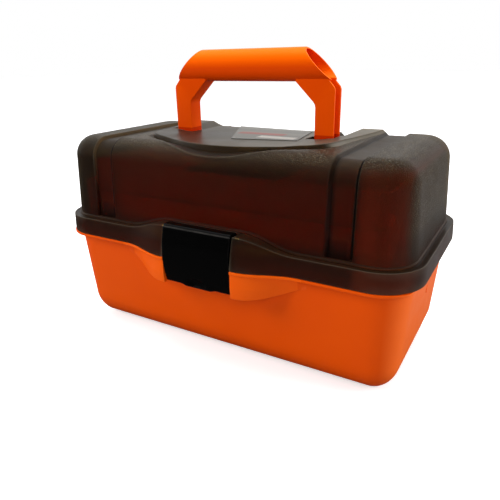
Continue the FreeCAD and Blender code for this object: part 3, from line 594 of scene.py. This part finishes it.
# ------------------------------------------------------------------ lid shell
def lid_section(col):
    """Section from the top out, down the wall and skirt, and back up inside."""
    x, side = col[0], col[4]
    bulge = bell(x, 35.0, 50.0) if side == "f" else 0.0
    arch = bell(x, 36.0, 46.0) if side == "f" else 0.0
    foot = WALL_FOOT + 9.9 * arch
    wall = wall_r(foot)
    points = [(0.0, LID_TOP), (WALL, LID_TOP)]
    points += arc(ROUND_C, ROUND_Z, ROUND_R, ROUND_R, 90, 0, OUTER_ARC)
    points += [(wall_r(z), z) for z in np.linspace(ROUND_Z, 124.0, 9)[1:]]
    low = [(wall_r(124.0), 124.0, 0), (wall_r(foot + 1.6), foot + 1.6, 0.3),
           (wall + 0.9, foot + 0.9, 0.3)]
    if side == "f" and abs(x) < RECESS_X:
        low += [(wall + 1.0, foot, 0.3), (29.4, foot, 0.5), (29.4, 112.4, 0.3),
                (38.3, 112.4, 0.3), (38.4, 104.0, 0.3), (38.45, SKIRT_FOOT, 0.3),
                (36.0, SKIRT_FOOT, 0.3), (35.6, SKIRT_ROOF, 0.4)]
    else:
        skirt = 34.9 + 12.35 * bulge
        brow = skirt - (0.8 + 5.4 * bulge)
        root = wall + 1.0
        low += [(root, foot - 0.35, 0.3), (root + 0.3 * (brow - root), foot - 0.4, 0.3),
                (root + 0.6 * (brow - root), foot - 0.25, 0.3), (brow, foot, 0.65),
                (0.5 * (brow + skirt) + 0.7 * bulge, 0.5 * (foot + SKIRT_FOOT) + 0.5, 0.6),
                (skirt, SKIRT_FOOT, 0.6), (skirt - 2.5, SKIRT_FOOT, 0.4),
                (skirt - 2.9, SKIRT_ROOF, 0.4)]
    points += rounded(low + [(24.6, SKIRT_ROOF, 0)])[1:]
    points += [(wall_r(z, WALL), z) for z in np.linspace(112.0, ROUND_Z, 8)]
    inner_r = ROUND_R - WALL
    points += arc(wall_r(ROUND_Z, WALL) - inner_r, ROUND_Z, inner_r, inner_r,
                  0, 90, INNER_ARC)[1:]
    return points + [(WALL, LID_TOP - WALL), (0.0, LID_TOP - WALL)]


CHANNEL_POINTS = 2 + OUTER_ARC + 1 + 8 + 1    # top, rounding, wall and the first skirt point


def lid_shift(col, points):
    """Sinks the channels, the hollow under the platform and the drop behind the handle."""
    x, side = col[0], col[4]
    if side not in "fb":
        return points
    T = np.gradient(points, axis=0)
    length = np.hypot(T[:, 0], T[:, 1])
    length[length < 1e-9] = 1.0
    outward = np.stack([-T[:, 1] / length, T[:, 0] / length], 1)
    depth = np.zeros(len(points))
    depth[:CHANNEL_POINTS] = float(channel(x))

    def drop(r):
        if side == "f":
            return scoop(x, LID_Y + r)
        return behind(x, 60.0) * max(0.0, 1 - max(0.0, r - ROUND_C) / ROUND_R) ** 0.8

    for k, r in enumerate(points[:2 + OUTER_ARC + 1, 0]):
        depth[k] += drop(r)
    # the inner face follows the drop of the outer rounding
    inner = [ROUND_C + ROUND_R * math.cos(math.radians(90 / INNER_ARC * k))
             for k in range(1, INNER_ARC + 1)] + [WALL, 0.0]
    for k, r in enumerate(inner):
        depth[len(points) - len(inner) + k] -= drop(r)
    if np.abs(depth).max() < 1e-6:
        return points
    points = points - outward * depth[:, None]
    points[0, 0] = points[-1, 0] = 0.0
    return points


lid = shell("lid_shell_skin", lid_xs, lid_ys, lid_section,
            [lambda x, y: LID_TOP - float(channel(x)) - cap_drop(x, y),
             lambda x, y: LID_TOP - WALL - cap_drop(x, y)],
            LID, lid_shift)
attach(lid, "lid")
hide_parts("lid_shell")


# ------------------------------------------------- platform on top of the lid
SLOTS = ((-86.6, -61.6), (53.6, 78.6))    # x ranges of the openings through the top
SLOT_Y = 8.1                              # their half depth
platform_xs = spaced([0, 53.6, 58.0, 61.0, 61.6, 62.5, 78.6, 80.0, 82.0, 86.6],
                     [4.5, 1.5, 1.0, 0.3, 0.3, 2.0, 0.7, 0.4, 1.5])

# Rows of the platform have to run along the slots' front and rear sides.
for slot_y in (-SLOT_Y, SLOT_Y):
    top_edge[int(np.argmin(np.abs(top_edge[:, 1] - slot_y))), 1] = slot_y


def lid_surface(y):
    """Height of the lid's outer face over the front and rear rounding."""
    over = abs(y) - (LID_Y + ROUND_C)
    if over <= 0:
        return LID_TOP
    return ROUND_Z + math.sqrt(ROUND_R ** 2 - min(over, ROUND_R - 0.05) ** 2)


def platform_height(x, y):
    a = abs(x)
    rear = float(smooth(-22, 2, y))
    past_slot = float(smooth(7.5, 11, y))
    outside = float(smooth(80.3, 81.6, a))
    z = 183.5 + (1.2 * float(smooth(50, 68, a)) + 0.9 * float(smooth(68, 84, a))) * (1 - rear)
    z += rear * 1.9 * (float(smooth(66.0, 77.0, a)) * (1 - past_slot) + outside * past_slot)
    z -= 2.9 * float(smooth(36, 58, y)) * (1 - float(smooth(60.5, 62.0, a)))
    valley = float(smooth(61.0, 62.4, a)) * (1 - outside) * float(smooth(8.6, 12.0, y))
    return z * (1 - valley) + (185.2 - 0.5 * (81.0 - a)) * valley


def platform():
    """A top sheet with a rim down to the lid, a lower sheet, and walls between them."""
    verts, faces = [], []
    size = len(platform_xs) + 4 + 7    # columns across, extra ones to the edge, rim points
    for sign in (1, -1):
        first = len(verts)
        for (tx, ty), (fx, fy) in zip(top_edge, foot_edge):
            squeeze = min(1.0, tx / 87.6)
            last = platform_xs[-1] * squeeze
            row = [x * squeeze for x in platform_xs]
            row += [last + (tx - last) * share for share in (0.25, 0.5, 0.75, 1.0)]
            verts += [(sign * x, ty, platform_height(x, ty)) for x in row]
            out = np.array([fx - tx, fy - ty])
            far = float(np.hypot(*out))
            out = out / (far + 1e-9)
            top = platform_height(tx, ty)
            front = 1 - float(smooth(-38.0, -24.0, ty))
            reach = far + (1.5 - far) * front
            end_y = ty + out[1] * reach
            foot = lid_surface(end_y) - scoop(tx + out[0] * reach, -end_y)
            # (distance out from the edge, height)
            rim = [(0.15, top - 0.03), (0.4, top - 0.18), (0.55, top - 0.5)]
            rim += [(0.55 + (reach - 0.55) * f, (top - 0.5) * (1 - f) + (foot - 0.1) * f)
                    for f in (0.33, 0.66, 1.0)]
            rim.append((reach, foot - 1.2))
            verts += [(sign * (tx + out[0] * q), ty + out[1] * q, z) for q, z in rim]
        for quad in ring_faces(len(top_edge), size, close_points=False, first=first):
            mid_x = sum(verts[i][0] for i in quad) / 4
            mid_y = sum(verts[i][1] for i in quad) / 4
            if abs(mid_y) < SLOT_Y and any(x0 < mid_x < x1 for x0, x1 in SLOTS):
                continue
            faces.append(quad if sign > 0 else quad[::-1])

    # directed edges by place; one without its opposite lies on the open border
    edges = {}
    for face in faces:
        for a, b in zip(face, face[1:] + face[:1]):
            ends = tuple(tuple(np.round(verts[i], 4)) for i in (a, b))
            edges.setdefault(ends, (a, b))
    lower = len(verts)
    verts += [(x, y, min(z, lid_surface(y) - cap_drop(x, y)) - 1.6) for x, y, z in verts]
    faces += [tuple(i + lower for i in face[::-1]) for face in faces]
    for (start, end), (a, b) in edges.items():
        if (end, start) not in edges:
            faces.append((b, a, a + lower, b + lower))
    return make("lid_platform", verts, faces, LID_SMOOTH, 50.0)


plat = platform()
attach(plat, "lid")


def box(name, x0, x1, y0, y1, z0, z1):
    verts = [(x, y, z) for x in (x0, x1) for y in (y0, y1) for z in (z0, z1)]
    faces = [(0, 1, 3, 2), (4, 6, 7, 5), (0, 4, 5, 1), (2, 3, 7, 6), (0, 2, 6, 4), (1, 5, 7, 3)]
    return make(name, verts, faces, LID, 20.0)


def carve(ob, cutters):
    """Cuts real openings through a piece."""
    for i, cutter in enumerate(cutters):
        cut = ob.modifiers.new("cut%d" % i, "BOOLEAN")
        cut.operation = "DIFFERENCE"
        cut.solver = "EXACT"
        cut.object = cutter
    depsgraph = bpy.context.evaluated_depsgraph_get()
    mesh = bpy.data.meshes.new_from_object(ob.evaluated_get(depsgraph))
    ob.modifiers.clear()
    ob.data = mesh
    shade(mesh, 38)


def mark_hollow(ob):
    """Distance to the hollow's lower outline for the material's painted shade and highlight: 0.5
    on it, more inside,
    24 mm to a unit, and 0 away from the upper front."""
    marks = ob.data.attributes.new("hollow", "FLOAT", "POINT")
    for i, v in enumerate(ob.data.vertices):
        x, y, z = (c / MM for c in v.co)
        a = abs(x)
        if y > -10 or a > 92 or z < 150:
            marks.data[i].value = 0.0
            continue
        past = (edge_front(foot_edge, a) + y) / 24.0
        marks.data[i].value = float(np.clip(0.5 + past - max(0.0, a - 86.0) * 0.04, 0, 1))


mark_hollow(lid)
cutters = [box("slot" + tag, x0, x1, -SLOT_Y, SLOT_Y, 170, 195)
           for tag, (x0, x1) in zip("LR", SLOTS)]
bpy.context.view_layer.update()
carve(lid, cutters)
for cutter in cutters:
    bpy.data.objects.remove(cutter)


# ----------------------------------------------------------------------- base
BASE_X, BASE_Y = 137.0, 53.25    # half sizes of the rectangle the tub is swept round
BASE_TOP = 94.2
FLOOR = 3.0                      # thickness of the tub's floor
FOOT_R, FOOT_H = 23.0, 27.0      # rounding from floor to wall
APRON_X = 87.0                   # half width of the front apron
base_xs = mirrored(spaced([0, 32.4, 32.75, 33.0, 36.0, 92.0, BASE_X],
                          [5.4, 0.2, 0.25, 1.0, 2.0, 5.0]))
base_ys = spaced([-BASE_Y, BASE_Y], [5.0])


def base_r(z, inset=0.0):
    return 26.2 - inset - 7.0 * (BASE_TOP - z) / BASE_TOP


def apron_low(x):
    """Height of the apron's lower edge."""
    return 71.0 + 12.5 * (max(0.0, abs(x) - 40.0) / 46.0) ** 2.0


def base_section(col):
    """Section from the floor out, up the wall to the lip, and back down inside."""
    x, y, nx, ny, side = col
    front = side == "f" and abs(x) < APRON_X
    bulge = bell(x, 35.0, 51.5) if front else 0.0
    low_z = apron_low(x) if front else 84.0
    wall = base_r(low_z)
    points = [(0.0, 0.0)]
    points += arc(base_r(FOOT_H) - FOOT_R, FOOT_H, FOOT_R, FOOT_H, -90, 0, 16)
    points += [(base_r(z), z) for z in np.linspace(FOOT_H, 62.0, 6)[1:]]
    rim = [(base_r(62.0), 62.0, 0), (base_r(low_z - 2.5), low_z - 2.5, 0.3)]
    if front and abs(x) < RECESS_X:
        rim += [(wall + 0.4, low_z - 0.6, 0.3), (36.4, low_z - 0.2, 0.8), (36.6, 82.0, 0.3),
                (36.7, 91.9, 0.2), (36.7, 92.3, 0.2), (36.7, 93.9, 0.3), (36.2, BASE_TOP, 0.2)]
    else:
        low_r = wall + 20.2 * bulge
        high_r = base_r(92.0) + 18.8 * bulge
        slim = max(float(smooth(0.80, 0.97, abs(nx))), float(smooth(0.05, 0.5, ny)))
        lip = high_r + (7.0 - 3.4 * slim) * (1 - bulge) + 0.8 * bulge
        rim += [(wall + 0.35 * bulge, low_z - 0.4 * bulge, 0.3),
                (low_r, low_z, 0.6 * bulge + 0.1),
                (0.5 * (low_r + high_r) + 0.5 * bulge, 0.5 * (low_z + 91.0), 0.3),
                (high_r, 90.9, 0.5), (lip, 91.9, 0.4), (lip, 94.15, 0.4),
                (lip - 1.2, BASE_TOP, 0.2)]
    rim += [(25.6, BASE_TOP, 0.2), (25.5, 98.6, 0.5), (23.6, 98.6, 0.5),
            (base_r(90.0, WALL), 90.0, 0)]
    points += rounded(rim)[1:]
    points += [(base_r(z, WALL), z) for z in np.linspace(84.0, 26.0, 8)]
    points += arc(base_r(26.0, WALL) - 20.4, 26.0, 20.4, 26.0 - FLOOR, 0, -90, 12)[1:]
    return points + [(0.0, FLOOR)]


base = shell("base_tub_skin", base_xs, base_ys, base_section,
             [lambda x, y: 0.0, lambda x, y: FLOOR], ORANGE)
base.data.materials.append(ORANGE_PAINTED_LIT)
# the apron's proud faces take the lighter copy of the orange, painted light
for face in base.data.polygons:
    x, y, z = (c / MM for c in face.center)
    proud = y < -(BASE_Y + base_r(z) + 0.35)
    if abs(x) < APRON_X and proud and apron_low(x) - 0.1 < z < 94.3:
        face.material_index = 1
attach(base, "base")
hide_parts("base_tub")


# -------------------------------------------------- CAD pieces with eased edges
def soften(node, width, mat, body, seg=2):
    """A copy of a CAD piece with its edges eased the way a moulding's are."""
    bm = bmesh.new()
    bm.from_mesh(nodes[node].data)
    bmesh.ops.remove_doubles(bm, verts=bm.verts, dist=2e-6)
    bmesh.ops.dissolve_limit(bm, angle_limit=math.radians(1.0), verts=bm.verts, edges=bm.edges)
    sharp = [e for e in bm.edges
             if len(e.link_faces) == 2 and e.calc_face_angle(0.0) > math.radians(28.0)]
    bmesh.ops.bevel(bm, geom=sharp, offset=width * MM, offset_type="OFFSET", segments=seg,
                    profile=0.6, affect="EDGES", clamp_overlap=True)
    bmesh.ops.triangulate(bm, faces=[f for f in bm.faces if len(f.verts) > 4])
    mesh = bpy.data.meshes.new(node + "_eased")
    bm.to_mesh(mesh)
    bm.free()
    shade(mesh, 32)
    mesh.materials.append(mat)
    ob = add_object(node + "_eased", mesh)
    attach(ob, body)
    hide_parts(node)
    return ob


soften("handle", 0.7, HANDLE, "lid", seg=3)
for tray in ("lower_tray", "upper_tray"):
    soften(tray, 0.3, TRAY, tray)
for arm in ("left_arm", "right_arm"):
    soften(arm, 0.4, ARM, arm)


# ---------------------------------------------------------------------- latch
LATCH_X = 32.4    # half width
LATCH_EASE = 0.8  # rounding of its left and right edges

# Latch outline, (y, z): down the front, round the foot, up the rear.
LATCH_FRONT = [(-86.2, 122.3), (-90.4, 122.5), (-93.6, 122.2), (-95.0, 120.6), (-96.4, 115.5),
               (-98.2, 108), (-99.1, 98.5), (-98.7, 88), (-97.4, 79.5), (-96.0, 74.4)]
LATCH_FOOT = [(-95.7, 73.2), (-95.2, 72.6), (-94.6, 72.8), (-94.25, 73.6)]
LATCH_REAR = [(-94.2, 74.6), (-94.9, 80), (-95.3, 88), (-95.5, 98), (-94.7, 107),
              (-92.9, 112.4), (-89.5, 112.9), (-85.6, 113.7), (-83.9, 116.4),
              (-83.9, 119.3), (-84.7, 121.4)]


def latch():
    """The latch flap: one curved blade with a finger scoop and a lifting tab."""
    front = curve(LATCH_FRONT, 60)
    P = np.concatenate([front, LATCH_FOOT, curve(LATCH_REAR, 40)])
    T = np.roll(P, -1, 0) - np.roll(P, 1, 0)
    T /= np.hypot(T[:, 0], T[:, 1])[:, None]
    inward = np.stack([-T[:, 1], T[:, 0]], 1)
    if ((P - P.mean(axis=0)) * inward).sum() > 0:
        inward = -inward
    n = len(front)
    edge = [-LATCH_X, -LATCH_X + 0.12, -LATCH_X + 0.35, -LATCH_X + LATCH_EASE]
    xs = edge + list(np.linspace(-LATCH_X + 1.8, LATCH_X - 1.8, 62)) + [-x for x in edge[::-1]]
    rings = []
    for x in xs:
        e = max(0.0, abs(x) - (LATCH_X - LATCH_EASE)) / LATCH_EASE
        Q = P + inward * (0.75 * (1 - math.sqrt(max(0.0, 1 - e * e))))
        # tab at the foot
        tab = 1 - float(smooth(11.0, 18.0, abs(x)))
        low = np.clip((80.0 - Q[:, 1]) / 7.0, 0, 1) ** 2
        Q[:, 1] -= 1.5 * tab * low
        Q[:n, 0] -= 0.5 * tab * low[:n]
        # finger scoop, an ellipse on the front
        q = ((x + 1.0) / 9.5) ** 2 + ((Q[:n, 1] - 74.6) / 5.6) ** 2
        Q[:n, 0] += 2.1 * np.clip(1 - q, 0, 1) ** 0.6
        rings.append([(x, y, z) for y, z in Q])
    return loft("latch_flap_skin", rings, BLACK, 42.0)


flap = latch()
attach(flap, "latch")
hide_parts("latch_flap")


# --------------------------------------------------- knuckles, bosses, keeper
def along_x(name, cy, cz, radius, hole, web, x0, x1, mat):
    """A barrel with an optional web (a convex outline in y, z), drawn round its axis and
    run along x with eased ends."""
    ease = 0.35
    corners = [(y - cy, z - cz) for y, z in web]
    angles = list(np.linspace(0, 2 * math.pi, 40, endpoint=False))
    angles += [math.atan2(z, y) % (2 * math.pi) for y, z in corners]
    outline = []    # (reach, direction y, direction z)
    for a in sorted(set(round(a, 5) for a in angles)):
        dy, dz = math.cos(a), math.sin(a)
        reach = radius
        for (ay, az), (by, bz) in zip(corners, corners[1:] + corners[:1]):
            ey, ez = by - ay, bz - az
            det = dy * -ez + ey * dz
            if abs(det) < 1e-9:
                continue
            t = (ay * -ez + ey * az) / det
            u = (dy * az - dz * ay) / det
            if t > 0 and -1e-4 <= u <= 1 + 1e-4:
                reach = max(reach, t)
        outline.append((reach, dy, dz))
    verts = []
    for x, grow in ((x0, -ease), (x0 + ease, 0.0), (x1 - ease, 0.0), (x1, -ease)):
        verts += [(x, cy + dy * (reach + grow), cz + dz * (reach + grow))
                  for reach, dy, dz in outline]
    for x in (x1, x0):
        verts += [(x, cy + dy * hole, cz + dz * hole) for _, dy, dz in outline]
    return make(name, verts, ring_faces(6, len(outline), close_rings=True), mat, 30.0)


def meet_wall(ob):
    """Ends a lid boss half way through the lid's wall, which curves in at the corners."""
    for v in ob.data.vertices:
        x, y, z = (c / MM for c in v.co)
        if abs(x) < 153.0:
            continue
        r = wall_r(z) - WALL / 2
        q = max(0.0, abs(y) - LID_Y)
        v.co.x = math.copysign(LID_X + math.sqrt(max(0.0, r * r - q * q)), x) * MM
    return ob


def fit(ob, body):
    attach(ob, body)


HINGE = dict(cy=91.0, cz=94.6, radius=4.0, hole=1.56)
BASE_WEB = [(76.5, 84.0), (93.6, 90.7), (93.6, BASE_TOP), (76.5, BASE_TOP)]
LID_WEB = [(83.6, 94.8), (92.0, 94.8), (92.0, 98.4), (83.6, 98.4)]
for i, (x0, x1) in enumerate(((-136, -124.2), (-99.8, -88), (88, 99.8), (124.2, 136)), 1):
    fit(along_x("base_knuckle_%d" % i, web=BASE_WEB, x0=x0, x1=x1, mat=ORANGE, **HINGE),
        "base")
for i, (x0, x1) in enumerate(((-124, -100), (100, 124)), 1):
    fit(along_x("lid_knuckle_%d" % i, web=LID_WEB, x0=x0, x1=x1, mat=LID_DARK, **HINGE),
        "lid")

# Arm bosses: name, y, z, radius, inner and outer end.
BOSSES = (("base_boss", 9.0, 63.0, 7.0, 151.5, 159.6),
          ("lower_lid_boss", 62.02, 111.4, 6.0, 148.4, 160.6),
          ("upper_lid_boss", 22.0, 134.6, 6.0, 148.4, 159.4))
for tag, sign in (("left", -1), ("right", 1)):
    for boss, y, z, radius, inner, outer in BOSSES:
        on_base = boss == "base_boss"
        x0, x1 = sorted((sign * inner, sign * outer))
        ob = along_x(tag + "_" + boss, y, z, radius, hole=1.6, web=[], x0=x0, x1=x1,
                     mat=ORANGE if on_base else LID_SMOOTH)
        if on_base:
            fit(ob, "base")
        else:
            fit(meet_wall(ob), "lid")


def keeper():
    """Wedge on the base front that the latch's claw catches."""
    root_y, mid_z = -89.2, 82.0
    outline = [(root_y, 84.0), (-91.4, 84.0), (-91.75, 83.7), (-91.8, 83.2), (-91.0, 80.9),
               (root_y, 80.0)]
    rings = [[(x, root_y + (y - root_y) * scale, mid_z + (z - mid_z) * scale)
              for y, z in outline]
             for x, scale in ((-12.0, 0.85), (-11.6, 1.0), (11.6, 1.0), (12.0, 0.85))]
    return loft("keeper_rib", rings, ORANGE, 30.0)


fit(keeper(), "base")

# CAD pieces that keep their own meshes
for mat, names in (
        (DIVIDER, ("lower_tray_dividers", "upper_tray_dividers")),
        (STEEL, ("latch_pin", "lower_arm_rivets", "upper_arm_rivets", "lower_lid_pins",
                 "upper_lid_pins", "arm_washers", "left_hinge_pin", "right_hinge_pin")),
        (ORANGE, ("left_base_rivet", "right_base_rivet")),
        (STICKER, ("label_sticker",))):
    for name in names:
        materials = nodes[name].data.materials
        materials.clear()
        materials.append(mat)


# ------------------------------------------------------------- stage and light
def grey(level):
    return (level, level, level, 1)


def floor():
    """Floor that is near white to the camera and darker to reflected and bounced light."""
    mat = Mat("pale_floor")
    rays = mat.node("LightPath").outputs
    seen = mat.mix(mat.noise(3.0), grey(0.90), grey(0.92))
    across = mat.math("ADD", mat.split(mat.place)[0], mat.times(mat.split(mat.place)[1], 0.6))
    glint = mat.mix(mat.ramp(across, over=(0.16, 0.42)), grey(0.05), grey(0.30))
    unseen = mat.mix(rays["Is Glossy Ray"], grey(0.34), glint)
    body = mat.principled({"Base Color": mat.mix(rays["Is Camera Ray"], unseen, seen),
                           "Roughness": 0.75, "Specular IOR Level": 0.2})
    glow = mat.node("Emission", {"Color": grey(1), "Strength": mat.times(rays["Is Camera Ray"],
                                                                         0.50)})
    mat.finish(mat.node("AddShader", {0: body, 1: glow.outputs[0]}).outputs[0])
    half, z = 8, -0.0005
    mesh = bpy.data.meshes.new("floor")
    mesh.from_pydata([(-half, -half, z), (half, -half, z), (half, half, z), (-half, half, z)],
                     [], [(0, 1, 2, 3)])
    mesh.materials.append(mat.material)
    add_object("floor", mesh)


def studio():
    """White to the camera; as a light, bright from one side and dim from the other."""
    world = bpy.data.worlds.new("studio")
    scene.world = world
    world.use_nodes = True
    sky = Nodes(world.node_tree)
    facing = sky.node("VectorMath", {0: sky.node("NewGeometry").outputs["Incoming"],
                                     1: (0.40, -0.72, -0.30)}, operation="DOT_PRODUCT")
    level = sky.ramp(facing.outputs["Value"], over=(-0.45, 0.75), to=(0.04, 1.0),
                     interpolation_type="SMOOTHSTEP")
    is_camera = sky.node("LightPath").outputs["Is Camera Ray"]
    background = world.node_tree.nodes["Background"]
    strength = sky.node("Mix", {0: is_camera, 2: level, 3: 1.0}).outputs[0]
    sky.feed(background.inputs["Strength"], strength)
    background.inputs[0].default_value = grey(1)


def area(name, place, target, size, power):
    light = bpy.data.lights.new(name, "AREA")
    light.energy = power
    light.shape = "RECTANGLE"
    light.size, light.size_y = size
    ob = add_object(name, light)
    ob.location = place
    aim = Vector(target) - Vector(place)
    ob.rotation_euler = aim.to_track_quat("-Z", "Y").to_euler()
    ob.visible_glossy = False


floor()
studio()
area("top", place=(-0.25, 0.25, 1.5), target=(0, 0, 0.1), size=(1.2, 1.0), power=20.0)
area("right", place=(1.5, 0.5, 0.75), target=(0, 0, 0.1), size=(1.2, 1.2), power=19.0)
area("front_left", place=(-1.3, -1.1, 1.1), target=(0, 0, 0.1), size=(0.7, 0.7), power=18.0)
area("front", place=(0.55, -1.7, 0.85), target=(0, 0, 0.08), size=(0.9, 0.9), power=10.5)

cam = bpy.data.cameras.new("cam")
cam.sensor_fit = "HORIZONTAL"
cam.sensor_width = 36.0
cam.lens = 35.5832424
cam.clip_start = 0.01
camera = bpy.data.objects.new("cam", cam)
# rows: the camera's right, up and backward directions
axes = Matrix(((0.8641781, 0.5028098, -0.0194557),
               (-0.1665134, 0.3222451, 0.9318966),
               (0.4748363, -0.8020850, 0.3622018)))
pose = axes.transposed().to_4x4()
pose.translation = Vector((0.2243676, -0.3892754, 0.2470656))
camera.matrix_world = pose
scene.collection.objects.link(camera)
scene.camera = camera
scene.view_settings.view_transform = "Standard"
